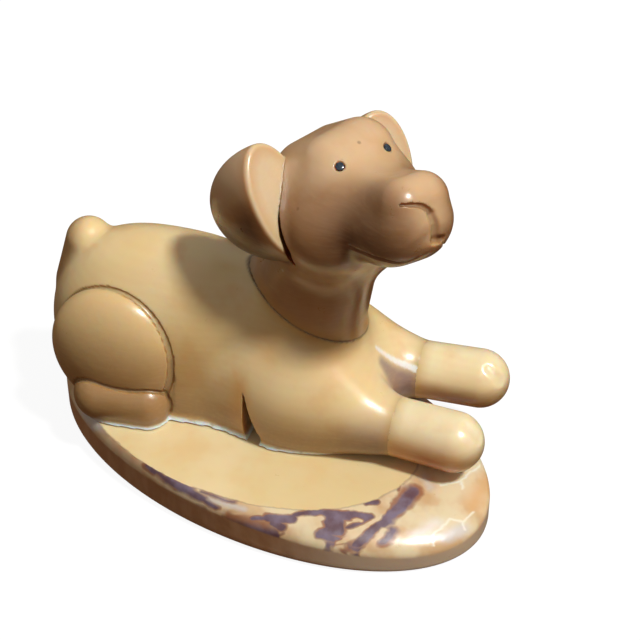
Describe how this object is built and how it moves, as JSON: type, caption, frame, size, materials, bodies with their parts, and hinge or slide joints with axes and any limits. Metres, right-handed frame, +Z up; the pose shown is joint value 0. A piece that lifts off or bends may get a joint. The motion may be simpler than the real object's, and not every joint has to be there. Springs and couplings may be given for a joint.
{
  "type": "carved dog figurine on an oval base",
  "caption": "Small polished nut carving of a lying puppy with its head turned to its right, glued on an oval slice of nut shell.",
  "frame": {"origin": "centre of the oval slice's flat underside, which is what the carving stands on", "axes": "+X the way the dog's trunk and forelegs point, +Y the dog's left, +Z up"},
  "size_m": [0.0598, 0.0361, 0.0472],
  "materials": {
    "nut_slice": "polished vegetable ivory, cream sanded top with purple-brown seed skin left round the edge",
    "cream_nut": "polished cream vegetable ivory",
    "brown_nut": "polished brown vegetable ivory",
    "pale_nut": "polished pale vegetable ivory",
    "black_inlay": "gloss"
  },
  "bodies": {
    "root": {"base": "nut_slice", "body": "cream_nut", "head": "brown_nut", "right_forepaw": "pale_nut", "left_forepaw": "pale_nut", "right_eye": "black_inlay", "left_eye": "black_inlay"}
  },
  "joints": []
}
